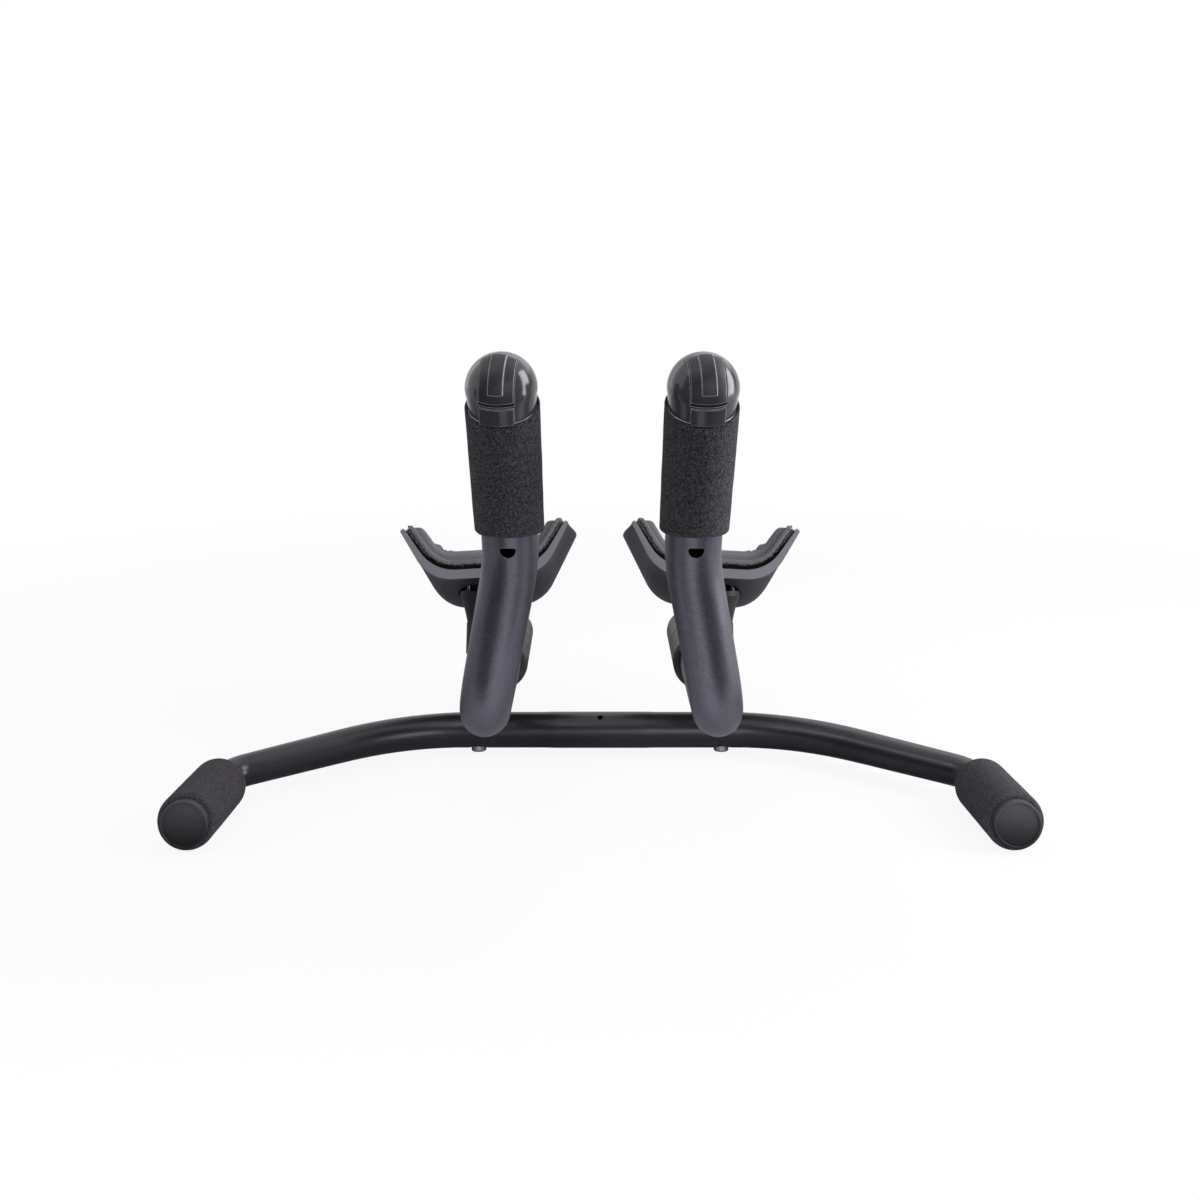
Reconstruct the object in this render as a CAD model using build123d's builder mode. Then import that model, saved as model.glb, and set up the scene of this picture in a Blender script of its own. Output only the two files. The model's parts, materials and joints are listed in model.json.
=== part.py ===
from build123d import *
import os
from math import cos, radians, sin, tan

# An aero handlebar set: a base bar and, on each side, a pod with a post, an extension and an arm cup.
# The origin is the middle of the base bar's axis. X runs along the bar, -Y is the way of riding, Z is up.
# One pod is modelled level in its own frame, tilted as a whole about the bar's axis, and mirrored.

# Fits
saddle_gap = 0.15
slip_gap = 0.1
screw_gap = 0.2
thread_gap = 0.05
foam_gap = 0.2
neck_clear = 0.6
button_gap = 0.3

# Base bar
bar_d = 23.8
clamp_zone = 32.0
clamp_shoulder = 8.0
bar_side_d = 23.4
bar_mid_d = 21.4
bar_end_d = 19.4
bar_wall = 3.4
bar_straight = 90.0
bar_sweep_r = 145.0
bar_sweep = 35.5
bar_bend_r = 19.5
bar_half_width = 233.5
bar_bare_end = 2.7
cable_hole_d = 3.8
cable_hole_angle = 64.0

# Bar grips and end plugs
grip_wall = 7.1
grip_length = 47.0
grip_edge_r = 2.5
plug_d = 27.0
plug_head = 2.4
plug_lip = 1.3
plug_lip_rise = 0.6
plug_shank = 18.0

# Pods
pod_tilt = 10.5
post_x = 85.0
post_d = 19.0
post_foot_d = 24.0
post_foot_top = 20.0
post_top = 52.0

# Low-head cap screws under the bar, in conical seats
m6_d = 6.0
m6_head_d = 10.4
m6_head = 4.6
m6_socket = 5.0
m6_socket_depth = 2.2
seat_depth = 2.4
seat_d = 11.6
seat_mouth_d = 15.2
post_screw_reach = 32.0

# Extension tube
tube_d = 22.2
tube_wall = 2.0
run_x = 63.5
run_height = 65.5
run_pitch = 1.5
run_toe = 2.77
run_rear = 12.0
run_front = 269.0
bend_r = 42.0
upright_x = 35.7
kink_forward = 38.1
kink_rise = 67.8
kink_r = 90.0
upper_lean = 39.1
upper_length = 70.0
tube_hole_r = 3.0
tube_hole_flat = 0.6
tube_hole_corner = 0.5
tube_hole_rise = 4.1
rear_cap_head = 2.5
rear_cap_shank = 12.0

# Extension clamp
clamp_d = 30.4
clamp_rear = 10.0
clamp_front = 125.0
clamp_grooves = (62.0, 104.0)
groove_width = 2.0
groove_depth = 1.4
clamp_edge = 1.6
boss_d = 21.6
boss_top = 73.0
lug_width = 14.0
lug_drop = 7.5
lug_front = 52.0
pinch_slot = 1.6
pinch_screws = (20.0, 42.0)
m5_d = 5.0
m5_head_d = 8.5
m5_head = 5.0
m5_socket = 4.0
m5_socket_depth = 2.5
pinch_depth = 4.2

# Foam on the upright
sleeve_wall = 2.5
sleeve_length = 55.8
sleeve_low_slant = 28.6
sleeve_top_slant = 8.0
sleeve_low_r = 2.0
sleeve_top_r = 0.6

# Switch housing, in its own frame with Z along the upright
switch_turn = 4.0
dome_overhang = 1.8
dome_base = 8.7
skirt_inset = 0.8
rim_overhang = 1.3
rim_height = 0.8
shank_length = 22.0
shank_wall = 0.8
ledge_width = 1.2
board_seat = 1.0
button_width = 12.2
button_rear = 0.5
button_thickness = 2.2
button_travel = 0.8
button_foot = 0.5
tab_bottom = 0.8
tab_top = 7.2
tab_rise = 0.5
rib_width = 5.2
rib_rise = 0.5
rib_start = 12.6
stem_d = 4.0
stem_forward = 4.0
board_thickness = 1.6
tact_side = 6.0
tact_height = 3.5
plunger_d = 3.4
plunger_length = 3.0
plunger_rise = 1.5

# Cup neck
neck_low_d = 20.6
neck_top_d = 32.8
neck_rim_edge = 3.4
spigot_d = 18.0
spigot_height = 5.5

# Arm cup, in its own frame with Y along the forearm
cup_x = 80.0
cup_toe = 2.0
cup_cant = 3.0
cup_front = 36.0
cup_rear = 74.0
cup_keel = 36.0
front_half_width = 58.6
keel_half_width = 64.8
rear_half_width = 59.0
front_rise = 28.2
keel_rise = 19.4
rear_rise = 14.4
front_drop = 6.4
keel_drop = 31.0
rear_drop = 16.6
hull_angle = 60.5
hull_corner_r = 28.0
floor_height = 112.6
floor_thickness = 11.1
trough_angle = 56.0
trough_corner_r = 29.0
wing_edge = 3.6
tip_cut = 8.0
tip_r = 1.2
cup_pocket_d = 34.4
m4_d = 4.0
m4_head_d = 7.4
m4_head = 2.2
cup_screw_spread = 19.0
cup_screw_pitch = 18.0
cup_screw_depth = 5.5
cup_screw_sink = 1.5

# Hook layer and arm pad
hook_thickness = 2.8
hook_inset = 1.5
hook_above_tip = 0.8
pad_thickness = 8.4
pad_above_tip = 3.8

os.makedirs("parts", exist_ok=True)
pod = Location((0, 0, 0), (-pod_tilt, 0, 0))


def write(name, part):
    """Writes one finished piece under its own name."""
    part.label = name
    export_step(part, f"parts/{name}.step")


def placed(part, place=Location()):
    """The piece set into a pod at its place there, and the pod tilted about the bar."""
    with BuildPart() as piece:
        with Locations(pod * place):
            add(part)
    return piece.part


def mirrored(part):
    """The same piece on the other side of the bar."""
    with BuildPart() as piece:
        mirror(part, about=Plane.YZ)
    return piece.part


def write_pair(name, part):
    """Writes the rider's left piece and its mirror image on the right."""
    write(f"left_{name}", part)
    write(f"right_{name}", mirrored(part))


def write_group(name, parts):
    """Writes like fasteners of both sides as one node of separate solids."""
    solids = [solid for part in parts for solid in part.solids()]
    others = [solid for part in parts for solid in mirrored(part).solids()]
    write(name, Compound(children=solids + others))


def cap_screw(diameter, length, head_d, head_height, socket, socket_depth):
    """A socket cap screw with its seat at the origin, its shank along +Z and its head below."""
    with BuildPart() as screw:
        Cylinder(diameter / 2, length, align=(Align.CENTER, Align.CENTER, Align.MIN))
        Cylinder(head_d / 2, head_height, align=(Align.CENTER, Align.CENTER, Align.MAX))
        chamfer(screw.edges().filter_by(GeomType.CIRCLE).sort_by(Axis.Z)[0], head_height / 6)
        with BuildSketch(Plane.XY.offset(-head_height)):
            RegularPolygon(socket / 2, 6, major_radius=False)
        extrude(amount=socket_depth, mode=Mode.SUBTRACT)
    return screw.part


# Base bar: straight middle, forward sweep with a taper, tight bend, straight ends
sweep_end = Vector(
    bar_straight + bar_sweep_r * sin(radians(bar_sweep)),
    -bar_sweep_r * (1 - cos(radians(bar_sweep))),
)
slant = Vector(cos(radians(bar_sweep)), -sin(radians(bar_sweep)))
corner_y = sweep_end.Y - (bar_half_width - sweep_end.X) * tan(radians(bar_sweep))
bend_tangent = bar_bend_r * tan(radians(90 - bar_sweep) / 2)
bend_start = Vector(bar_half_width, corner_y) - slant * bend_tangent
bend_end = Vector(bar_half_width, corner_y - bend_tangent)
bar_reach = grip_length + bar_bare_end - bend_end.Y


def bar_section(point, direction, radius):
    """A round section of the bar, square to its axis at the given point."""
    with BuildSketch(Plane(origin=point, x_dir=(0, 0, -1), z_dir=direction)) as section:
        Circle(radius)
    return section.sketch


def half_bar(shrink):
    """One half of the bar as a solid, thinner all round by shrink."""
    middle_r = bar_d / 2 - shrink
    side_r = bar_side_d / 2 - shrink
    mid_r = bar_mid_d / 2 - shrink
    end_r = bar_end_d / 2 - shrink
    forward = Vector(0, -1)
    with BuildLine() as sweep_line:
        CenterArc((bar_straight, -bar_sweep_r), bar_sweep_r, 90, -bar_sweep)
    with BuildLine() as bend_line:
        CenterArc((bar_half_width - bar_bend_r, bend_end.Y), bar_bend_r, 90 - bar_sweep, bar_sweep - 90)
    zone_end = Vector(clamp_zone, 0)
    side_start = Vector(clamp_zone + clamp_shoulder, 0)
    sweep_start = Vector(bar_straight, 0)
    along = Vector(1, 0)
    with BuildPart() as half:
        extrude(bar_section((0, 0, 0), along, middle_r), amount=clamp_zone)
        loft([bar_section(zone_end, along, middle_r), bar_section(side_start, along, side_r)])
        extrude(bar_section(side_start, along, side_r), amount=bar_straight - side_start.X)
        sweep(
            [bar_section(sweep_start, along, side_r), bar_section(sweep_end, slant, mid_r)],
            path=sweep_line.wire(),
            multisection=True,
        )
        loft([bar_section(sweep_end, slant, mid_r), bar_section(bend_start, slant, end_r)])
        sweep(bar_section(bend_start, slant, end_r), path=bend_line.wire())
        extrude(bar_section(bend_end, forward, end_r), amount=bend_end.Y + bar_reach)
    return half.part


seat_slope = (seat_mouth_d - seat_d) / 2 / seat_depth
seat_height = seat_depth - bar_side_d / 2
with BuildPart() as base_bar:
    add(half_bar(0))
    add(half_bar(bar_wall), mode=Mode.SUBTRACT)
    mirror(about=Plane.YZ)
    with Locations(Location((0, 0, 0), (90 - cable_hole_angle, 0, 0))):
        Cylinder(
            cable_hole_d / 2,
            bar_d,
            align=(Align.CENTER, Align.CENTER, Align.MIN),
            mode=Mode.SUBTRACT,
        )
    for side in (-1, 1):
        with Locations(pod * Location((side * post_x, 0, 0))):
            Cylinder(m6_d / 2 + screw_gap, 2 * bar_d, mode=Mode.SUBTRACT)
        with Locations(pod * Location((side * post_x, 0, seat_height))):
            Cone(
                seat_mouth_d / 2 + seat_slope * seat_depth,
                seat_d / 2,
                2 * seat_depth,
                align=(Align.CENTER, Align.CENTER, Align.MAX),
                mode=Mode.SUBTRACT,
            )
write("base_bar", base_bar.part)

# Foam grips and end plugs on the bar's ends
grip_front_plane = Plane(origin=(bar_half_width, -bar_reach, 0), x_dir=(1, 0, 0), z_dir=(0, 1, 0))
with BuildPart() as bar_grip:
    with BuildSketch(grip_front_plane):
        Circle(bar_end_d / 2 + grip_wall)
        Circle(bar_end_d / 2 + foam_gap, mode=Mode.SUBTRACT)
    extrude(amount=grip_length)
    outer_rims = bar_grip.edges().filter_by(GeomType.CIRCLE).sort_by(SortBy.RADIUS)[-2:]
    fillet(outer_rims, grip_edge_r)
write_pair("bar_grip", bar_grip.part)

with BuildPart() as bar_plug:
    with BuildSketch(grip_front_plane.offset(-plug_head)):
        Circle(plug_d / 2)
    extrude(amount=plug_head)
    with BuildSketch(grip_front_plane.offset(-plug_head)):
        Circle(plug_d / 2)
        Circle(plug_d / 2 - plug_lip, mode=Mode.SUBTRACT)
    extrude(amount=-plug_lip_rise)
    with BuildSketch(grip_front_plane):
        Circle(bar_end_d / 2 - bar_wall - slip_gap)
    extrude(amount=plug_shank)
    front_rims = bar_plug.edges().filter_by(GeomType.CIRCLE).group_by(Axis.Y)[0]
    fillet(front_rims, plug_lip_rise / 2)
write_pair("bar_plug", bar_plug.part)

# Posts that stand on the bar, and the screws that come up through it
with BuildPart() as post:
    Cylinder(post_d / 2, post_top, align=(Align.CENTER, Align.CENTER, Align.MIN))
    Cylinder(post_foot_d / 2, post_foot_top, align=(Align.CENTER, Align.CENTER, Align.MIN))
    foot_edge = post.edges().filter_by(GeomType.CIRCLE).sort_by(SortBy.RADIUS)
    chamfer(foot_edge.sort_by(Axis.Z)[-3], (post_foot_d - post_d) / 4)
    with Locations(Location((0, 0, 0), (0, 90, 0))):
        Cylinder(bar_side_d / 2 + saddle_gap, 2 * post_foot_d, mode=Mode.SUBTRACT)
    Cylinder(m6_d / 2 + thread_gap, 4 * post_top, mode=Mode.SUBTRACT)
write_pair("post", placed(post.part, Location((post_x, 0, 0))))

m6_bar_screw = cap_screw(
    m6_d, post_screw_reach - seat_height, m6_head_d, m6_head, m6_socket, m6_socket_depth
)
write_group("post_screws", [placed(m6_bar_screw, Location((post_x, 0, seat_height)))])

# Extension tubes: a level run, the upward bend, a kink and the upright end
run_slope = Vector(tan(radians(run_toe)), 1, tan(radians(run_pitch)))
run_middle = Vector(run_x, 0, run_height)
run_start = run_middle + run_slope * run_rear
bend_corner = run_middle - run_slope * run_front
kink = Vector(upright_x, bend_corner.Y - kink_forward, bend_corner.Z + kink_rise)
upper_axis = Vector(0, -sin(radians(upper_lean)), cos(radians(upper_lean)))
upper_end = kink + upper_axis * upper_length
run_axis = run_slope.normalized()
run_across = run_axis.cross(Vector(0, 0, 1)).normalized()
run_place = Plane(origin=run_middle, x_dir=run_across, z_dir=run_across.cross(run_axis)).location

with BuildLine() as tube_line:
    FilletPolyline(run_start, bend_corner, kink, upper_end, radius=[bend_r, kink_r])
tube_start_plane = Plane(origin=run_start, x_dir=(0, 0, 1), z_dir=run_axis * -1)
with BuildPart() as extension:
    with BuildSketch(tube_start_plane) as tube_outside:
        Circle(tube_d / 2)
    sweep(tube_outside.sketch, path=tube_line.wire())
    with BuildSketch(tube_start_plane) as tube_inside:
        Circle(tube_d / 2 - tube_wall)
    sweep(tube_inside.sketch, path=tube_line.wire(), mode=Mode.SUBTRACT)
    hole_plane = Plane(
        origin=(upright_x, kink.Y, kink.Z + tube_hole_rise), x_dir=(1, 0, 0), z_dir=(0, -1, 0)
    )
    with BuildSketch(hole_plane) as tube_hole:
        Circle(tube_hole_r)
        with Locations((0, tube_hole_flat)):
            Rectangle(
                4 * tube_hole_r,
                2 * tube_hole_r,
                align=(Align.CENTER, Align.MIN),
                mode=Mode.SUBTRACT,
            )
        fillet(tube_hole.vertices().group_by(Axis.Y)[-1], tube_hole_corner)
    extrude(tube_hole.sketch, amount=2 * tube_d, mode=Mode.SUBTRACT)
write_pair("extension", placed(extension.part))

with BuildPart() as extension_cap:
    with BuildSketch(Plane(origin=run_start, x_dir=(0, 0, 1), z_dir=run_axis)):
        Circle(tube_d / 2)
    extrude(amount=rear_cap_head)
    with BuildSketch(Plane(origin=run_start, x_dir=(0, 0, 1), z_dir=run_axis * -1)):
        Circle(tube_d / 2 - tube_wall - slip_gap)
    extrude(amount=rear_cap_shank)
    fillet(extension_cap.edges().filter_by(GeomType.CIRCLE).sort_by(Axis.Y)[-1], rear_cap_head / 2)
write_pair("extension_cap", placed(extension_cap.part))

# Extension clamps, in the frame of the run: Y rearwards along the tube's axis, Z up
lug_bottom = -clamp_d / 2 - lug_drop
pinch_height = lug_bottom + pinch_depth
lug_length = lug_front + clamp_rear
with BuildPart() as clamp_barrel:
    with BuildSketch(Plane.XZ.offset(-clamp_rear)):
        Circle(clamp_d / 2)
    extrude(amount=clamp_rear + clamp_front)
    chamfer(clamp_barrel.edges().filter_by(GeomType.CIRCLE), clamp_edge)
    with Locations((0, clamp_rear, lug_bottom)):
        Box(lug_width, lug_length, -lug_bottom, align=(Align.CENTER, Align.MAX, Align.MIN))
    fillet(clamp_barrel.edges().filter_by(Axis.Y).group_by(Axis.Z)[0], lug_width / 8)
    for groove in clamp_grooves:
        with BuildSketch(Plane.XZ.offset(groove - groove_width / 2)):
            Circle(clamp_d)
            Circle(clamp_d / 2 - groove_depth, mode=Mode.SUBTRACT)
        extrude(amount=groove_width, mode=Mode.SUBTRACT)

with BuildPart() as clamp_openings:
    with BuildSketch(Plane.XZ.offset(-2 * clamp_rear)):
        Circle(tube_d / 2 + slip_gap)
    extrude(amount=3 * clamp_rear + clamp_front)
    with Locations((0, clamp_rear, 0)):
        Box(pinch_slot, lug_length, -2 * lug_bottom, align=(Align.CENTER, Align.MAX, Align.MAX))
    for pinch in pinch_screws:
        with Locations(Location((0, -pinch, pinch_height), (0, 90, 0))):
            Cylinder(m5_d / 2 + screw_gap, 2 * lug_width)

# The boss between post and neck stands upright in the pod, beside the barrel
with BuildPart() as clamp:
    with Locations(run_place):
        add(clamp_barrel.part)
    with Locations((post_x, 0, post_top)):
        Cylinder(boss_d / 2, boss_top - post_top, align=(Align.CENTER, Align.CENTER, Align.MIN))
    with Locations(run_place):
        add(clamp_openings.part, mode=Mode.SUBTRACT)
    with Locations((post_x, 0, boss_top)):
        Cylinder(
            neck_low_d / 2 + neck_clear,
            clamp_d,
            align=(Align.CENTER, Align.CENTER, Align.MIN),
            mode=Mode.SUBTRACT,
        )
        Cylinder(m6_d / 2 + screw_gap, 4 * boss_d, mode=Mode.SUBTRACT)
    with Locations((post_x, 0, post_top)):
        Cylinder(
            post_d / 2 + neck_clear,
            clamp_d,
            align=(Align.CENTER, Align.CENTER, Align.MAX),
            mode=Mode.SUBTRACT,
        )
write_pair("clamp", placed(clamp.part))

m5_screw = cap_screw(m5_d, lug_width, m5_head_d, m5_head, m5_socket, m5_socket_depth)
pinch_places = [
    run_place * Location((lug_width / 2, -pinch, pinch_height), (0, -90, 0)) for pinch in pinch_screws
]
write_group("clamp_screws", [placed(m5_screw, place) for place in pinch_places])

# Foam sleeves on the upright ends: slanted below, and drawn up round the switch
upper_place = Plane(origin=upper_end, x_dir=(1, 0, 0), z_dir=upper_axis).location
sleeve_d = tube_d + 2 * sleeve_wall
rim_r = tube_d / 2 + rim_overhang
low_reach = sleeve_d * tan(radians(sleeve_low_slant))
lip_middle = sleeve_d / 2 * tan(radians(sleeve_top_slant))
with BuildPart() as sleeve:
    with Locations((0, 0, -sleeve_length - low_reach)):
        Cylinder(
            sleeve_d / 2,
            sleeve_length + low_reach + 2 * lip_middle,
            align=(Align.CENTER, Align.CENTER, Align.MIN),
        )
    with Locations(Location((0, 0, -sleeve_length), (-sleeve_low_slant, 0, 0))):
        Box(
            4 * sleeve_d,
            4 * sleeve_d,
            2 * sleeve_d,
            align=(Align.CENTER, Align.CENTER, Align.MAX),
            mode=Mode.SUBTRACT,
        )
    with Locations(Location((0, 0, lip_middle), (sleeve_top_slant, 0, 0))):
        Box(
            4 * sleeve_d,
            4 * sleeve_d,
            2 * sleeve_d,
            align=(Align.CENTER, Align.CENTER, Align.MIN),
            mode=Mode.SUBTRACT,
        )
    end_rims = sleeve.edges().filter_by(GeomType.ELLIPSE).sort_by(Axis.Z)
    fillet(end_rims[0], sleeve_low_r)
    end_rims = sleeve.edges().filter_by(GeomType.ELLIPSE).sort_by(Axis.Z)
    fillet(end_rims[-1], sleeve_top_r)
    Cylinder(tube_d / 2 + foam_gap, 4 * sleeve_length, mode=Mode.SUBTRACT)
    with Locations((0, 0, -foam_gap)):
        Cylinder(
            rim_r + foam_gap,
            sleeve_d,
            align=(Align.CENTER, Align.CENTER, Align.MIN),
            mode=Mode.SUBTRACT,
        )
write_pair("extension_grip", placed(sleeve.part, upper_place))

# Switch housings: a rim, a dome with a channel for the button, a front tab and a hollow shank in the tube
switch_place = upper_place * Location((0, 0, 0), (0, 0, switch_turn))
shank_r = tube_d / 2 - tube_wall - slip_gap
cavity_r = shank_r - shank_wall
ledge_r = cavity_r - ledge_width
dome_r = tube_d / 2 + dome_overhang
skirt_r = dome_r - skirt_inset
channel_r = dome_r - button_thickness - button_travel - button_gap
channel_width = button_width + 2 * button_gap
button_low = dome_base + button_foot
channel_low = button_low - button_travel - button_gap

with BuildPart() as channel:
    with Locations((0, button_rear + button_gap, channel_low)):
        Box(channel_width, 2 * dome_r, 2 * dome_r, align=(Align.CENTER, Align.MAX, Align.MIN))
    with Locations((0, 0, dome_base)):
        Sphere(channel_r, mode=Mode.SUBTRACT)
    Cylinder(channel_r, dome_base, align=(Align.CENTER, Align.CENTER, Align.MIN), mode=Mode.SUBTRACT)

with BuildPart() as switch_body:
    with BuildSketch(Plane.XZ) as housing_profile:
        with BuildLine():
            Polyline(
                (0, dome_base + dome_r),
                (0, -shank_length),
                (shank_r, -shank_length),
                (shank_r, 0),
                (rim_r, 0),
                (rim_r, rim_height),
                (skirt_r, rim_height),
                (dome_r, dome_base),
            )
            CenterArc((0, dome_base), dome_r, 0, 90)
        make_face()
    revolve(axis=Axis.Z)
    add(channel.part, mode=Mode.SUBTRACT)
    with BuildSketch(Plane.XY.offset(tab_bottom)):
        Circle(dome_r + tab_rise)
        Rectangle(button_width, 2 * dome_r, align=(Align.CENTER, Align.MAX), mode=Mode.INTERSECT)
    extrude(amount=tab_top - tab_bottom)
    with Locations((0, 0, dome_base)):
        Sphere(cavity_r, mode=Mode.SUBTRACT)
    with Locations((0, 0, -board_seat)):
        Cylinder(
            cavity_r,
            dome_base + board_seat,
            align=(Align.CENTER, Align.CENTER, Align.MIN),
            mode=Mode.SUBTRACT,
        )
    with Locations((0, 0, -shank_length)):
        Cylinder(
            ledge_r,
            shank_length,
            align=(Align.CENTER, Align.CENTER, Align.MIN),
            mode=Mode.SUBTRACT,
        )
    with Locations((0, -stem_forward, dome_base)):
        Cylinder(
            stem_d / 2 + button_gap / 2,
            2 * dome_r,
            align=(Align.CENTER, Align.CENTER, Align.MIN),
            mode=Mode.SUBTRACT,
        )
write_pair("switch_body", placed(switch_body.part, switch_place))

# Strip buttons with a raised rib, each on a stem that reaches its switch
tact_low = board_thickness - board_seat
tact_top = tact_low + tact_height
plunger_top = tact_top + plunger_rise
stem_top = dome_base + ((dome_r - button_thickness / 2) ** 2 - stem_forward**2) ** 0.5
with BuildPart() as rib:
    with Locations((0, button_rear, rib_start)):
        Box(rib_width, 2 * dome_r, 2 * dome_r, align=(Align.CENTER, Align.MAX, Align.MIN))
    with Locations((0, 0, dome_base)):
        Sphere(dome_r + rib_rise, mode=Mode.INTERSECT)
with BuildPart() as shift_button:
    with Locations((0, button_rear, button_low)):
        Box(button_width, 2 * dome_r, 2 * dome_r, align=(Align.CENTER, Align.MAX, Align.MIN))
    with Locations((0, 0, dome_base)):
        Sphere(dome_r, mode=Mode.INTERSECT)
    add(rib.part)
    with Locations((0, 0, dome_base)):
        Sphere(dome_r - button_thickness, mode=Mode.SUBTRACT)
    with Locations((0, -stem_forward, plunger_top)):
        Cylinder(
            stem_d / 2,
            stem_top - plunger_top,
            align=(Align.CENTER, Align.CENTER, Align.MIN),
        )
write_pair("shift_button", placed(shift_button.part, switch_place))

with BuildPart() as switch_plunger:
    with Locations((0, -stem_forward, plunger_top)):
        Cylinder(plunger_d / 2, plunger_length, align=(Align.CENTER, Align.CENTER, Align.MAX))
write_pair("switch_plunger", placed(switch_plunger.part, switch_place))

with BuildPart() as tact_switch:
    with Locations((0, -stem_forward, tact_low)):
        Box(tact_side, tact_side, tact_height, align=(Align.CENTER, Align.CENTER, Align.MIN))
    with Locations((0, -stem_forward, plunger_top - plunger_length - button_travel - button_gap)):
        Cylinder(
            plunger_d / 2 + slip_gap,
            tact_height,
            align=(Align.CENTER, Align.CENTER, Align.MIN),
            mode=Mode.SUBTRACT,
        )
write_pair("tact_switch", placed(tact_switch.part, switch_place))

with BuildPart() as circuit_board:
    with Locations((0, 0, -board_seat)):
        Cylinder(cavity_r - slip_gap, board_thickness, align=(Align.CENTER, Align.CENTER, Align.MIN))
write_pair("circuit_board", placed(circuit_board.part, switch_place))

# Flared necks between the clamps and the cups, and the screws that hold them down
cup_seat = floor_height - floor_thickness
neck_rim = cup_seat - spigot_height
with BuildPart() as cup_neck:
    with BuildSketch(Plane.XZ):
        with BuildLine():
            flare = Spline(
                (neck_low_d / 2, boss_top),
                (neck_top_d / 2, neck_rim - neck_rim_edge),
                tangents=((0.2, 1), (0.5, 1)),
            )
            Polyline(
                flare @ 1,
                (neck_top_d / 2, neck_rim),
                (spigot_d / 2, neck_rim),
                (spigot_d / 2, cup_seat),
                (0, cup_seat),
                (0, boss_top),
                flare @ 0,
            )
        make_face()
    revolve(axis=Axis.Z)
    Cylinder(m6_d / 2 + screw_gap, 4 * cup_seat, mode=Mode.SUBTRACT)
    with Locations((0, 0, cup_seat)):
        Cylinder(
            m6_head_d / 2 + screw_gap,
            m6_head + screw_gap,
            align=(Align.CENTER, Align.CENTER, Align.MAX),
            mode=Mode.SUBTRACT,
        )
    with Locations((0, 0, neck_rim)):
        with GridLocations(cup_screw_spread, cup_screw_pitch, 2, 2):
            Cylinder(
                m4_d / 2 + thread_gap,
                2 * cup_screw_depth,
                mode=Mode.SUBTRACT,
            )
write_pair("cup_neck", placed(cup_neck.part, Location((post_x, 0, 0))))

neck_seat = cup_seat - m6_head - screw_gap
m6_neck_screw = cap_screw(
    m6_d, neck_seat - post_screw_reach - m6_d, m6_head_d, m6_head, m6_socket, m6_socket_depth
)
write_group("neck_screws", [placed(m6_neck_screw, Location((post_x, 0, neck_seat), (180, 0, 0)))])

# Arm cups: a hull lofted along the forearm, with a trough for the pad
cup_place = Location((cup_x, 0, floor_height), (0, cup_cant, -cup_toe)) * Location((0, 0, -floor_height))
hull_tan = tan(radians(hull_angle))
trough_tan = tan(radians(trough_angle))
trough_half_tan = tan(radians(trough_angle / 2))


def between(low, high, share):
    """The value at the given share of the way from low to high."""
    return low + (high - low) * share


half_keel = (cup_keel - cup_front) / 2
front_tip = floor_height + front_rise
keel_tip = floor_height + keel_rise
front_bottom = floor_height - front_drop
keel_bottom = floor_height - keel_drop
stations = (
    (-cup_front, front_half_width, front_tip, front_bottom),
    (
        half_keel,
        between(front_half_width, keel_half_width, 0.5),
        between(front_tip, keel_tip, 0.5),
        between(front_bottom, keel_bottom, 0.5),
    ),
    (cup_keel, keel_half_width, keel_tip, keel_bottom),
    (cup_rear, rear_half_width, floor_height + rear_rise, floor_height - rear_drop),
)


def hull_section(y, half_width, tip, bottom):
    """The cup's outside at one place: flat bottom, round corners, straight wings with square tips."""
    corner = half_width - (tip - bottom) / hull_tan
    mouth = half_width - tip_cut * sin(radians(hull_angle))
    top = tip + tip_cut * cos(radians(hull_angle))
    with BuildSketch(Plane.XZ.offset(-y)) as section:
        with BuildLine():
            Polyline(
                (-mouth, top),
                (-half_width, tip),
                (-corner, bottom),
                (corner, bottom),
                (half_width, tip),
                (mouth, top),
                close=True,
            )
        make_face()
        fillet(section.vertices().group_by(Axis.Y)[1], tip_r)
        fillet(section.vertices().group_by(Axis.Y)[0], hull_corner_r)
    return section.sketch


def trough_section(y, half_width, tip, level, top):
    """The space above a surface laid in the trough, level above its floor and square to its wings."""
    floor_corner = half_width - wing_edge - (tip - floor_height) / trough_tan
    corner = floor_corner - level * trough_half_tan
    bottom = floor_height + level
    corner_r = trough_corner_r * (tip - floor_height) / front_rise
    mouth = corner + (top - bottom) / trough_tan
    with BuildSketch(Plane.XZ.offset(-y)) as section:
        with BuildLine():
            Polyline((-mouth, top), (-corner, bottom), (corner, bottom), (mouth, top), close=True)
        make_face()
        fillet(section.vertices().group_by(Axis.Y)[0], corner_r)
    return section.sketch


def trough_space(level, above, inset):
    """The trough lofted from end to end, from level above its floor to above its wing tips."""
    sections = []
    for y, half_width, tip, _ in stations:
        end = inset if y == stations[0][0] else -inset if y == stations[-1][0] else 0
        sections.append(trough_section(y + end, half_width, tip, level, tip + above))
    with BuildPart() as space:
        loft(sections)
    return space.part


with BuildPart() as cup_hull:
    loft([hull_section(*station) for station in stations])
    add(trough_space(0, tip_cut, 0), mode=Mode.SUBTRACT)

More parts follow.
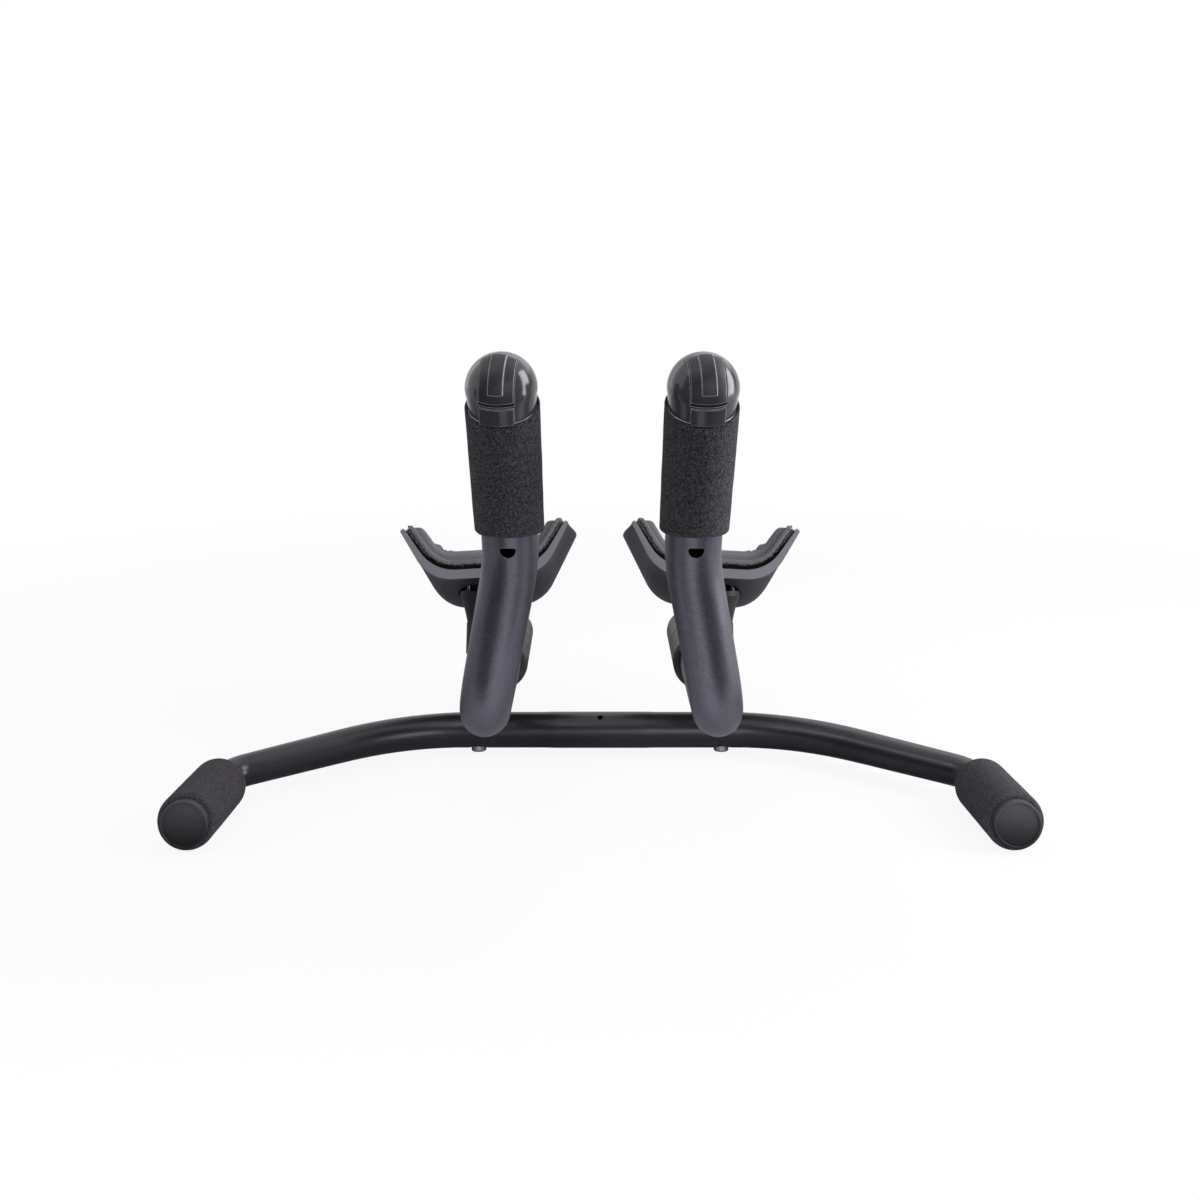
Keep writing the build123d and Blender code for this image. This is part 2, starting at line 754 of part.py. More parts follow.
m4_seat = floor_height - cup_screw_sink - m4_head
with BuildPart() as arm_cup:
    with Locations(cup_place):
        add(cup_hull.part)
    with Locations((post_x, 0, cup_seat)):
        Cylinder(
            cup_pocket_d / 2,
            cup_seat,
            align=(Align.CENTER, Align.CENTER, Align.MAX),
            mode=Mode.SUBTRACT,
        )
    with Locations((post_x, 0, m4_seat)):
        with GridLocations(cup_screw_spread, cup_screw_pitch, 2, 2):
            Cylinder(m4_d / 2 + screw_gap, 2 * cup_seat, mode=Mode.SUBTRACT)
            Cylinder(
                m4_head_d / 2 + screw_gap,
                floor_height,
                align=(Align.CENTER, Align.CENTER, Align.MIN),
                mode=Mode.SUBTRACT,
            )
write_pair("arm_cup", placed(arm_cup.part))

with BuildPart() as cup_screw_set:
    with Locations((post_x, 0, m4_seat)):
        with GridLocations(cup_screw_spread, cup_screw_pitch, 2, 2):
            Cylinder(m4_head_d / 2, m4_head, align=(Align.CENTER, Align.CENTER, Align.MIN))
            Cylinder(
                m4_d / 2,
                m4_seat - neck_rim + cup_screw_depth,
                align=(Align.CENTER, Align.CENTER, Align.MAX),
            )
write_group("cup_screws", [placed(cup_screw_set.part)])

# Hook-and-loop layers and arm pads, laid one on the other in the troughs
with BuildPart() as hook_layer:
    add(trough_space(slip_gap, hook_above_tip, hook_inset))
    add(trough_space(slip_gap + hook_thickness, wing_edge, -hook_inset), mode=Mode.SUBTRACT)
write_pair("hook_layer", placed(hook_layer.part, cup_place))

pad_level = 2 * slip_gap + hook_thickness
with BuildPart() as arm_pad:
    add(trough_space(pad_level, pad_above_tip, 0))
    add(trough_space(pad_level + pad_thickness, 3 * pad_above_tip, -hook_inset), mode=Mode.SUBTRACT)
write_pair("arm_pad", placed(arm_pad.part, cup_place))
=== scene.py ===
import json
from math import pi, radians, tan

import bmesh
import bpy
import numpy as np
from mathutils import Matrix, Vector

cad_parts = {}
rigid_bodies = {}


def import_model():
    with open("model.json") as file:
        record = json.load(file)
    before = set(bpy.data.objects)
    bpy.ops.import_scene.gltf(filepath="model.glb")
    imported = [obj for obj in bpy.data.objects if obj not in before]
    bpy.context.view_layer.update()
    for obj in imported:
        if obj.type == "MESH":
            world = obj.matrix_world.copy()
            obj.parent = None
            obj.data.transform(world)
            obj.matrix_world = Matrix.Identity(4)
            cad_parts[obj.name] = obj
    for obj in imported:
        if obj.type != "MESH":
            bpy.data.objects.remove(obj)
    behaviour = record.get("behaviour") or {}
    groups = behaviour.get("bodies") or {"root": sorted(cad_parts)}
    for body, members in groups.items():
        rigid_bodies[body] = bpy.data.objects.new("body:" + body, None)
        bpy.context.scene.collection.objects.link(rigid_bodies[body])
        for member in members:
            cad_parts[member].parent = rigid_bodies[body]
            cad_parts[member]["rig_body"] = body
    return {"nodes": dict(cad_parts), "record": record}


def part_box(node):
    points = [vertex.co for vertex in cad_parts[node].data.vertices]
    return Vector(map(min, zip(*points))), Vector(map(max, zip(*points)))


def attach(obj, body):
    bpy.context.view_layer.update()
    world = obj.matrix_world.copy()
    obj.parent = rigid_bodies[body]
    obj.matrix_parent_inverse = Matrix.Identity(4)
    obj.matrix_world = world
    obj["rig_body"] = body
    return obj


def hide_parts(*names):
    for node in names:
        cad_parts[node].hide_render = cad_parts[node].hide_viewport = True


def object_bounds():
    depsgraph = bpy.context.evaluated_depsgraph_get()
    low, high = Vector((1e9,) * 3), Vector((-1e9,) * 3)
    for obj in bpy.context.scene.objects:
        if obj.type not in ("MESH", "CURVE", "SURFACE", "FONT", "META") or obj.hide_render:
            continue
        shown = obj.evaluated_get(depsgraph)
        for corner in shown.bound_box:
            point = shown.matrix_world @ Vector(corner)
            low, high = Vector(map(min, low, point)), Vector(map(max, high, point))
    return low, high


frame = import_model()
CAD_BOX = [list(corner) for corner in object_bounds()]

bl_info = {
    "name": "Aero Handlebar Dress",
    "version": (1, 0, 0),
    "blender": (4, 5, 0),
    "location": "View3D > Sidebar > Handlebar",
    "description": "Foam grips, arm pads, hook layers, finishes and a studio for an aero handlebar set",
    "category": "Object",
}

SIDES = {"left": 1.0, "right": -1.0}
MM = 0.001
SEAM = 0.01 * MM
FLOOR_GAP = 0.3 * MM
WHITE = (1.0, 1.0, 1.0, 1.0)
COOL_GLOSS = (0.96, 0.92, 1.0, 1.0)

# The way that the cups' front ends face; the cup's finish paints faces that look this way paler, as
# painted light
CUP_FRONT = (0.0, -0.983, 0.182)

# The end of an upright, in millimetres in the level pod, and how far it leans forward
UPRIGHT_TOP = np.array([35.7, -351.25, 180.58])
UPRIGHT_LEAN = radians(39.1)

# Area lights: name, place, the point that it faces, width and height in metres, power in watts
AIM = (0.0, -0.2, 0.12)
LIGHTS = (
    ("right_box", (1.1, -0.3, 0.45), AIM, (0.55, 1.3), 21.0),
    ("left_box", (-2.2, 0.25, 1.3), AIM, (3.2, 2.6), 27.0),
    ("top_box", (0.65, 0.5, 1.8), (0.2, 0.2, 0.0), (2.4, 3.0), 23.0),
    ("front_box", (0.6, -2.1, 0.5), AIM, (1.0, 0.6), 8.0),
    ("overhead_box", (-0.45, -0.8, 1.3), AIM, (1.0, 0.6), 4.4),
    ("front_card", (0.0, -1.9, -0.25), AIM, (2.4, 1.3), 6.0),
)


# Sizes and colours that a user may change


class HandlebarSizes(bpy.types.PropertyGroup):
    """Sizes of the soft pieces, as they are in the solid model."""

    pod_tilt: bpy.props.FloatProperty(
        name="Pod Tilt", description="How far each pod leans up at the front",
        default=radians(10.5), subtype="ANGLE")
    bar_end_x: bpy.props.FloatProperty(
        name="Bar End", description="Distance of the bar's forward ends from the middle",
        default=233.5 * MM, unit="LENGTH")
    bar_grip_radius: bpy.props.FloatProperty(
        name="Bar Grip Radius", description="Outside radius of the foam on the bar's ends",
        default=16.8 * MM, unit="LENGTH")
    bar_grip_bore: bpy.props.FloatProperty(
        name="Bar Grip Bore", description="Inside radius of the foam on the bar's ends",
        default=9.95 * MM, unit="LENGTH")
    sleeve_radius: bpy.props.FloatProperty(
        name="Sleeve Radius", description="Outside radius of the foam on the uprights",
        default=13.6 * MM, unit="LENGTH")
    sleeve_bore: bpy.props.FloatProperty(
        name="Sleeve Bore", description="Inside radius of the foam on the uprights",
        default=11.3 * MM, unit="LENGTH")
    sleeve_length: bpy.props.FloatProperty(
        name="Sleeve Length", description="Length of the foam below the upright's end",
        default=55.8 * MM, unit="LENGTH")
    sleeve_low_slant: bpy.props.FloatProperty(
        name="Sleeve Low Slant", description="Slant of the foam's lower end",
        default=radians(28.6), subtype="ANGLE")
    sleeve_top_slant: bpy.props.FloatProperty(
        name="Sleeve Top Slant", description="Slant of the foam's lip round the switch",
        default=radians(8.0), subtype="ANGLE")
    hook_thickness: bpy.props.FloatProperty(
        name="Hook Layer", description="Thickness of the hook-and-loop layer",
        default=2.8 * MM, unit="LENGTH")
    pad_flange: bpy.props.FloatProperty(
        name="Pad Flange", description="Thickness of the pad's base at its edge",
        default=3.0 * MM, unit="LENGTH")
    pad_thickness: bpy.props.FloatProperty(
        name="Pad Thickness", description="Thickness of the pad's body",
        default=8.0 * MM, unit="LENGTH")


class HandlebarColours(bpy.types.PropertyGroup):
    """Base colours of the finishes."""

    bar: bpy.props.FloatVectorProperty(
        name="Bar", description="Paint of the base bar", size=3, subtype="COLOR",
        default=(0.0080, 0.0070, 0.0096))
    pod: bpy.props.FloatVectorProperty(
        name="Pod", description="Posts, clamps and necks", size=3, subtype="COLOR",
        default=(0.020, 0.0195, 0.022))
    extension: bpy.props.FloatVectorProperty(
        name="Extension", description="Anodised extension tubes", size=3, subtype="COLOR",
        default=(0.158, 0.1545, 0.1795))
    foam: bpy.props.FloatVectorProperty(
        name="Foam", description="Foam grips", size=3, subtype="COLOR",
        default=(0.046, 0.0425, 0.0495))
    plug: bpy.props.FloatVectorProperty(
        name="Plug", description="End plugs and caps", size=3, subtype="COLOR",
        default=(0.018, 0.0178, 0.020))
    steel: bpy.props.FloatVectorProperty(
        name="Steel", description="Bare screws", size=3, subtype="COLOR",
        default=(0.50, 0.485, 0.47))
    housing: bpy.props.FloatVectorProperty(
        name="Housing", description="Gloss switch housings", size=3, subtype="COLOR",
        default=(0.046, 0.0447, 0.051))
    button: bpy.props.FloatVectorProperty(
        name="Button", description="Shift buttons", size=3, subtype="COLOR",
        default=(0.018, 0.0172, 0.0195))
    cup: bpy.props.FloatVectorProperty(
        name="Cup", description="Moulded arm cups", size=3, subtype="COLOR",
        default=(0.0300, 0.0287, 0.0338))
    hook: bpy.props.FloatVectorProperty(
        name="Hook", description="Hook-and-loop layers", size=3, subtype="COLOR",
        default=(0.008, 0.0075, 0.009))
    pad: bpy.props.FloatVectorProperty(
        name="Pad", description="Cloth face of the arm pads", size=3, subtype="COLOR",
        default=(0.123, 0.119, 0.129))
    contact: bpy.props.FloatVectorProperty(
        name="Contact", description="Switch cans under the buttons", size=3, subtype="COLOR",
        default=(0.03, 0.03, 0.03))
    board: bpy.props.FloatVectorProperty(
        name="Board", description="Circuit boards", size=3, subtype="COLOR",
        default=(0.02, 0.12, 0.05))


class HandlebarStage(bpy.types.PropertyGroup):
    """The camera and the studio."""

    camera_distance: bpy.props.FloatProperty(
        name="Camera Distance", description="How far the camera stands in front of the bar",
        default=0.635, unit="LENGTH")
    camera_height: bpy.props.FloatProperty(
        name="Camera Height", description="Height of the camera above the bar's axis",
        default=0.2572, unit="LENGTH")
    lens: bpy.props.FloatProperty(
        name="Lens", description="Focal length on a 36 mm sensor", default=27.0)
    camera_side: bpy.props.FloatProperty(
        name="Camera Side", description="How far the camera stands to the right of the middle",
        default=-0.0016, unit="LENGTH")
    shift_side: bpy.props.FloatProperty(
        name="Side Shift", description="Sideways shift of the camera", default=0.0019)
    shift_up: bpy.props.FloatProperty(
        name="Vertical Shift", description="Vertical shift of the level camera", default=-0.1958)
    floor_drop: bpy.props.FloatProperty(
        name="Floor Drop", description="How far the floor lies below the bar's axis",
        default=FLOOR_GAP - CAD_BOX[0][2], unit="LENGTH")


# Shader expressions


class Wire:
    """One shader socket. Arithmetic on it adds Math nodes."""

    def __init__(self, finish, socket):
        self.finish = finish
        self.socket = socket

    def math(self, operation, first, second=0.0):
        return self.finish.node(
            "ShaderNodeMath", {"operation": operation}, {0: first, 1: second})

    def __add__(self, other):
        return self.math("ADD", self, other)

    __radd__ = __add__

    def __sub__(self, other):
        return self.math("SUBTRACT", self, other)

    def __rsub__(self, other):
        return self.math("SUBTRACT", other, self)

    def __mul__(self, other):
        return self.math("MULTIPLY", self, other)

    __rmul__ = __mul__

    def sine(self):
        return self.math("SINE", self)

    def size(self):
        """The value without its sign."""
        return self.math("ABSOLUTE", self)

    def at_least(self, low):
        """The value, or low where it is less."""
        return self.math("MAXIMUM", self, low)

    def step(self, low, high):
        """0 below low, 1 above high, eased in between."""
        return self.finish.node(
            "ShaderNodeMapRange",
            {"interpolation_type": "SMOOTHSTEP"},
            {"Value": self, "From Min": low, "From Max": high})


class Finish:
    """The nodes of a new material, or of a world. surface() ends a material."""

    def __init__(self, name, family="materials"):
        self.owner = getattr(bpy.data, family).new(name)
        self.owner.use_nodes = True
        self.tree = self.owner.node_tree
        self.tree.nodes.clear()

    def node(self, kind, settings=None, inputs=None, output=0):
        """Adds any node: its settings first, then its inputs as values or links. Gives one output."""
        made = self.tree.nodes.new(kind)
        for key, value in (settings or {}).items():
            setattr(made, key, value)
        for key, value in (inputs or {}).items():
            if isinstance(value, Wire):
                self.tree.links.new(value.socket, made.inputs[key])
            else:
                made.inputs[key].default_value = value
        return Wire(self, made.outputs[output]) if made.outputs else None

    def place(self):
        """The piece's own coordinates, in metres."""
        return self.node("ShaderNodeTexCoord", output="Object")

    def attribute(self, name):
        """A vector attribute stored on the piece's points."""
        return self.node("ShaderNodeAttribute", {"attribute_name": name}, output="Vector")

    def split(self, vector):
        """The three parts of a vector."""
        made = self.node("ShaderNodeSeparateXYZ", None, {0: vector}).socket.node
        return [Wire(self, output) for output in made.outputs]

    def noise(self, place, scale, detail=2.0, roughness=0.5):
        """Smooth noise from 0 to 1; scale counts features in a metre."""
        return self.node(
            "ShaderNodeTexNoise", None,
            {"Vector": place, "Scale": scale, "Detail": detail, "Roughness": roughness})

    def cells(self, place, scale):
        """Distance to the nearest of many scattered points, for pores and grain."""
        return self.node("ShaderNodeTexVoronoi", None, {"Vector": place, "Scale": scale})

    def facing(self, direction):
        """How far the surface faces a direction: 1 where it looks straight that way."""
        hard = self.node("ShaderNodeNewGeometry", output="Normal")
        return self.node(
            "ShaderNodeVectorMath", {"operation": "DOT_PRODUCT"}, {0: hard, 1: direction}, "Value")

    def edge(self, width):
        """A normal rounded over sharp edges, and how far it turns: 0 on flats, towards 1 on edges. The
        finishes paint edges lighter by it: a painted highlight, and on some finishes also wear.
        """
        soft = self.node("ShaderNodeBevel", {"samples": 6}, {"Radius": width})
        slight, full = 0.01, 0.14
        return soft, (1.0 - self.facing(soft)).step(slight, full)

    def ray(self, kind):
        """1 for rays of one kind, such as Camera or Glossy, and 0 for others."""
        return self.node("ShaderNodeLightPath", output=f"Is {kind} Ray")

    def tint(self, share, first, second):
        """A colour between two, each a plain colour or a wire."""
        ends = [end if isinstance(end, Wire) else (*end, 1.0) for end in (first, second)]
        return self.node(
            "ShaderNodeMix", {"data_type": "RGBA"},
            {"Factor": share, "A": ends[0], "B": ends[1]}, 2)

    def bump(self, height, depth, normal=None):
        """Relief of the given depth in metres."""
        inputs = {"Height": height, "Distance": depth, "Strength": 1.0}
        if normal:
            inputs["Normal"] = normal
        return self.node("ShaderNodeBump", None, inputs)

    def surface(self, **inputs):
        """Ends the material with one shader; an underscore in an input's name stands for a space."""
        named = {key.replace("_", " "): value for key, value in inputs.items()}
        shader = self.node("ShaderNodeBsdfPrincipled", None, named)
        self.node("ShaderNodeOutputMaterial", None, {"Surface": shader})
        return self.owner


def scaled(colour, factor):
    """The colour made lighter or darker."""
    return tuple(channel * factor for channel in colour)


# Finishes


def bar_paint(colour):
    """Semi-gloss paint: faint orange peel and slow changes of gloss."""
    f = Finish("bar_paint")
    place = f.place()
    cloud = f.noise(place, scale=38.0, detail=3.0)
    peel = f.noise(place, scale=900.0, detail=2.0)
    normal, edge_wear_and_highlight = f.edge(width=0.4 * MM)
    return f.surface(
        # Edges are painted lighter: partly wear, partly a painted highlight
        Base_Color=f.tint(cloud * 0.7 + edge_wear_and_highlight * 0.6, scaled(colour, 0.8), scaled(colour, 1.5)),
        Roughness=0.27 + 0.07 * cloud + 0.04 * peel,
        Specular_IOR_Level=0.65,
        Specular_Tint=COOL_GLOSS,
        Normal=f.bump(peel, 0.03 * MM, normal))


def pod_paint(colour):
    """Satin black on turned metal: a fine grain, and edges painted lighter, partly as rubbed wear and
    partly as a painted highlight.
    """
    f = Finish("pod_paint")
    place = f.place()
    grain = f.noise(place, scale=2600.0, detail=2.0)
    cloud = f.noise(place, scale=60.0, detail=3.0)
    normal, edge_wear_and_highlight = f.edge(width=0.5 * MM)
    return f.surface(
        # Edges are painted lighter: partly wear, partly a painted highlight
        Base_Color=f.tint(grain * 0.6 + edge_wear_and_highlight * 0.7, scaled(colour, 0.7), scaled(colour, 1.8)),
        Roughness=0.38 + 0.12 * cloud,
        Specular_IOR_Level=0.25,
        Normal=f.bump(grain, 0.03 * MM, normal))


def extension_anodise(colour):
    """Blasted and anodised aluminium: fine sparkle over a satin sheen."""
    f = Finish("extension_anodise")
    place = f.place()
    grain = f.noise(place, scale=1000.0, detail=3.0, roughness=0.65)
    cloud = f.noise(place, scale=45.0, detail=2.0)
    normal, edge_wear_and_highlight = f.edge(width=0.5 * MM)
    # Edges are painted lighter: partly wear, partly a painted highlight
    shade = (grain - 0.5) * 1.4 + 0.5 + (cloud - 0.5) * 0.3 + edge_wear_and_highlight * 0.4
    return f.surface(
        Base_Color=f.tint(shade, scaled(colour, 0.7), scaled(colour, 1.3)),
        Metallic=1.0,
        Roughness=0.34 + 0.10 * grain,
        Normal=f.bump(grain, 0.06 * MM, normal))


def foam(name, colour, contrast):
    """Closed-cell foam: crumbs, open pores and mottling, with more or less contrast."""
    f = Finish(name)
    place = f.place()
    blotch = f.noise(place, scale=330.0, detail=4.0, roughness=0.6)
    crumbs = f.noise(place, scale=1250.0, detail=3.0, roughness=0.75)
    pores = f.cells(place, scale=1250.0).step(0.05, 0.5)
    shade = 0.45 + contrast * (0.45 * (blotch - 0.5) + 4.0 * (crumbs - 0.5))
    return f.surface(
        Base_Color=f.tint(shade * (0.4 + 0.6 * pores), scaled(colour, 0.15), scaled(colour, 2.8)),
        Roughness=0.92,
        Specular_IOR_Level=0.35,
        Normal=f.bump(0.9 * crumbs + 0.5 * pores + 0.4 * blotch, 0.8 * MM))


def plug_plastic(colour, centre):
    """Moulded plug: spark texture with faint scuffs, a lip painted lighter as wear and painted highlight,
    a crowned face, and its upper half painted lighter as painted light from above.

    The crown is the square of the distance from the plug's own axis, as relief.
    """
    crowning, rim = 9.0, 13.0 * MM
    f = Finish("plug_plastic")
    place = f.place()
    spark = f.noise(place, scale=1500.0, detail=3.0, roughness=0.6)
    scuff = f.noise(place, scale=160.0, detail=4.0, roughness=0.6)
    normal, edge_wear_and_highlight = f.edge(width=0.6 * MM)
    x, _, z = f.split(place)
    off = x.size() - centre
    crown = f.bump((off * off + z * z) * -crowning, 1.0, normal)
    return f.surface(
        # The upper half is painted lighter, as painted light from above; edges are painted lighter as wear
        # and painted highlight
        Base_Color=f.tint(
            scuff * 0.2 + edge_wear_and_highlight * 0.5 + z.step(-rim, rim) * 0.9, scaled(colour, 0.1), scaled(colour, 3.2)),
        Roughness=0.40 + 0.16 * scuff,
        Specular_IOR_Level=0.35,
        Normal=f.bump(spark, 0.06 * MM, crown))


def screw_steel(name, colour):
    """Turned steel with fine drawn lines, bare or darkened; the darkened steel is painted shade, for
    screws that sit in a shaded pocket.
    """
    f = Finish(name)
    place = f.place()
    lines = f.noise(place, scale=3200.0, detail=2.0)
    stain = f.noise(place, scale=300.0, detail=3.0)
    normal, _ = f.edge(width=0.3 * MM)
    return f.surface(
        Base_Color=f.tint(stain, scaled(colour, 0.75), scaled(colour, 1.1)),
        Metallic=1.0,
        Roughness=0.14 + 0.12 * lines,
        Normal=f.bump(lines, 0.01 * MM, normal))


def housing_gloss(colour):
    """Gloss moulding: clear reflections, a trace of flow marks, and a painted highlight along its edges.
    """
    f = Finish("housing_gloss")
    place = f.place()
    flow = f.noise(place, scale=120.0, detail=3.0)
    dust = f.noise(place, scale=2600.0, detail=2.0)
    normal, edge_wear_and_highlight = f.edge(width=0.4 * MM)
    return f.surface(
        # Edges are painted near white: a painted highlight along every edge
        Base_Color=f.tint(flow * 0.03 + edge_wear_and_highlight * 0.95, scaled(colour, 0.85), scaled(colour, 10.5)),
        Roughness=0.13 + 0.05 * flow + 0.04 * dust,
        Specular_Tint=COOL_GLOSS,
        Normal=normal)


def button_satin(colour):
    """Satin moulding: fine spark texture, and a painted highlight, a light line, along its edges."""
    f = Finish("button_satin")
    place = f.place()
    spark = f.noise(place, scale=3000.0, detail=3.0, roughness=0.6)
    wear = f.noise(place, scale=220.0, detail=3.0)
    normal, edge_wear_and_highlight = f.edge(width=0.6 * MM)
    return f.surface(
        # Edges are painted much lighter: a painted highlight along every edge
        Base_Color=f.tint(wear * 0.02 + edge_wear_and_highlight * 0.95, scaled(colour, 0.8), scaled(colour, 30.0)),
        Roughness=0.42 + 0.12 * spark,
        Specular_Tint=COOL_GLOSS,
        Normal=f.bump(spark, 0.03 * MM, normal))


def cup_moulding(colour):
    """Moulded cup: satin, with a fine leathery spark texture; faces that look to the front are painted
    paler, as painted light on its front end.
    """
    f = Finish("cup_moulding")
    place = f.place()
    spark = f.noise(place, scale=2400.0, detail=3.0, roughness=0.6)
    cloud = f.noise(place, scale=60.0, detail=3.0)
    normal, edge_wear_and_highlight = f.edge(width=0.8 * MM)
    # Painted light: faces that look to the front get a much paler colour
    lit_front_face = f.facing(CUP_FRONT).step(0.86, 0.95)
    # Edges are painted lighter: partly wear, partly a painted highlight
    hull = f.tint(cloud * 0.7 + edge_wear_and_highlight * 0.5, scaled(colour, 0.85), scaled(colour, 1.35))
    return f.surface(
        Base_Color=f.tint(lit_front_face, hull, scaled(colour, 6.0)),
        Roughness=0.42 + 0.12 * spark - 0.12 * lit_front_face,
        Specular_IOR_Level=0.18,
        Normal=f.bump(spark, 0.04 * MM, normal))


def hook_fuzz(colour, nap):
    """Woven backing with tangled hooks, and loose grey nap along its upper side and near its tips. The nap
    is painted half again lighter than the pad's cloth, as painted light against the shade at the layer's
    edge.

    The nap starts at a height in the layer, which the tufts shift up and down and the tips lower.
    """
    tips_from, tip_shift, tuft_shift = 0.55, 4.8 * MM, 5.0 * MM
    nap_low, nap_high = 2.3 * MM, 2.8 * MM
    f = Finish("hook_fuzz")
    place = f.place()
    tangle = f.noise(place, scale=1400.0, detail=4.0, roughness=0.75)
    tufts = f.noise(place, scale=620.0, detail=3.0, roughness=0.7)
    share, _, height = f.split(f.attribute("weave"))
    tip = (share.size() - tips_from).at_least(0.0)
    loose = (height + tuft_shift * (tufts - 0.5) + tip_shift * tip).step(nap_low, nap_high)
    hooks = f.tint(tangle, scaled(colour, 0.4), scaled(colour, 2.4))
    return f.surface(
        # The nap's colour is raised half again above the pad's cloth: painted light against the shade in
        # the recess at the layer's edge
        Base_Color=f.tint(loose, hooks, scaled(nap, 1.5)),
        Roughness=0.95,
        Specular_IOR_Level=0.2,
        Normal=f.bump(tangle, 0.4 * MM))


def pad_cloth(colour):
    """Knitted cloth on foam: rows of stitches that follow the pad, with a soft nap."""
    row_pitch, stitch_pitch = 1.1 * MM, 0.8 * MM
    f = Finish("pad_cloth")
    across, along, _ = f.split(f.attribute("weave"))
    rows = (along * (2 * pi / row_pitch)).sine()
    stitches = (across * (2 * pi / stitch_pitch) + rows * 0.9).sine()
    knit = (rows * stitches) * 0.5 + 0.5
    place = f.place()
    nap = f.noise(place, scale=1300.0, detail=3.0, roughness=0.6)
    cloud = f.noise(place, scale=90.0, detail=3.0)
    shade = 0.1 + 0.35 * knit + 0.5 * nap + 0.25 * cloud
    return f.surface(
        Base_Color=f.tint(shade, scaled(colour, 0.6), scaled(colour, 1.35)),
        Roughness=0.93,
        Specular_IOR_Level=0.3,
        Sheen_Weight=0.08,
        Sheen_Roughness=0.5,
        Normal=f.bump(knit * 0.6 + nap * 0.7, 0.16 * MM))


def flat_plastic(name, colour):
    """Small inner parts: plain moulding with a faint grain."""
    f = Finish(name)
    grain = f.noise(f.place(), scale=1800.0, detail=2.0)
    return f.surface(
        Base_Color=f.tint(grain, scaled(colour, 0.8), scaled(colour, 1.2)),
        Roughness=0.5 + 0.1 * grain)


def sweep_white():
    """Floor and wall: white to the camera, with a trace of shade near the part.

    Reflections see them white from far away, as plain paint in front, and right under the part as a dark
    paint, a painted shade.
    """
    near, distant, front_from, front_to = 0.45, 1.3, 0.2, 0.31
    shade, painted_shade_share = 0.10, 0.6
    f = Finish("sweep_white")
    place = f.place()
    paint = f.node("ShaderNodeBsdfDiffuse", None, {"Color": (0.80, 0.78, 0.86, 1.0)})
    shade_paint = f.node("ShaderNodeBsdfDiffuse", None, {"Color": (0.06, 0.06, 0.065, 1.0)})
    glow = f.node("ShaderNodeEmission", None, {"Color": WHITE, "Strength": 1.0})
    distance = f.node("ShaderNodeVectorMath", {"operation": "LENGTH"}, {0: place}, "Value")
    far = distance.step(near, distant)
    front = (-1.0 * f.split(place)[1]).step(front_from, front_to)
    under_part = (1.0 - far) * (1.0 - front)
    glossy = f.ray("Glossy")
    share = f.ray("Camera") * (1.0 - shade * under_part) + (glossy + f.ray("Transmission")) * far
    # Painted shade: reflections under the part see a dark paint mixed into the floor
    floor = f.node("ShaderNodeMixShader", None, {0: painted_shade_share * glossy * under_part, 1: paint, 2: shade_paint})
    both = f.node("ShaderNodeMixShader", None, {0: share, 1: floor, 2: glow})
    f.node("ShaderNodeOutputMaterial", None, {"Surface": both})
    return f.owner


def studio_world():
    """White to the camera, and a faint even light for everything else."""
    f = Finish("studio", "worlds")
    ambient = f.node("ShaderNodeBackground", None, {"Color": (0.05, 0.05, 0.053, 1.0)})
    white = f.node("ShaderNodeBackground", None, {"Color": WHITE})
    both = f.node("ShaderNodeMixShader", None, {0: f.ray("Camera"), 1: ambient, 2: white})
    f.node("ShaderNodeOutputWorld", None, {"Surface": both})
    return f.owner


# Surfaces


def smooth(mesh):
    """Shades every face smooth."""
    mesh.polygons.foreach_set("use_smooth", np.ones(len(mesh.polygons), dtype=bool))


def add_piece(name, points, faces, material, node, weave=None):
    """Puts arrays of points and faces into a mesh object that stands for one CAD node.

    Points closer together than a seam become one, which closes the middles and ends of surfaces.
    """
    mesh = bpy.data.meshes.new(name)
    mesh.from_pydata(points.tolist(), [], faces.tolist())
    if weave is not None:
        attribute = mesh.attributes.new("weave", "FLOAT_VECTOR", "POINT")
        attribute.data.foreach_set("vector", np.ascontiguousarray(weave, dtype=np.float32).ravel())
    work = bmesh.new()
    work.from_mesh(mesh)
    bmesh.ops.remove_doubles(work, verts=work.verts, dist=SEAM)
    bmesh.ops.recalc_face_normals(work, faces=work.faces)
    work.to_mesh(mesh)
    work.free()
    smooth(mesh)
    mesh.materials.append(material)
    piece = bpy.data.objects.new(name, mesh)
    bpy.context.scene.collection.objects.link(piece)
    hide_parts(node)
    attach(piece, frame["nodes"][node]["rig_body"])
    return piece


def ring_faces(rings, around, loop):
    """Quads between each closed ring of points and the next; loop joins the last ring to the first."""
    i = np.arange(rings if loop else rings - 1)[:, None]
    j = np.arange(around)[None, :]
    after = (i + 1) % rings
    beside = (j + 1) % around
    quads = (i * around + j, i * around + beside, after * around + beside, after * around + j)
    return np.stack(np.broadcast_arrays(*quads), axis=-1).reshape(-1, 4)


def waves(first, second, seed):
    """A slow uneven surface: the mean of a few sine waves in two directions, from -1 to 1."""
    terms = 7
    dice = np.random.default_rng(seed)
    total = np.zeros(np.broadcast(first, second).shape)
    for _ in range(terms):
        k = dice.integers(1, 5)
        m = dice.uniform(0.6, 3.0)
        total += np.sin(k * first + m * second + dice.uniform(0, 2 * pi))
    return total / terms


def bell(value, middle, width):
    """A bell curve: 1 in the middle, falling off over the width."""
    return np.exp(-(((value - middle) / width) ** 2))


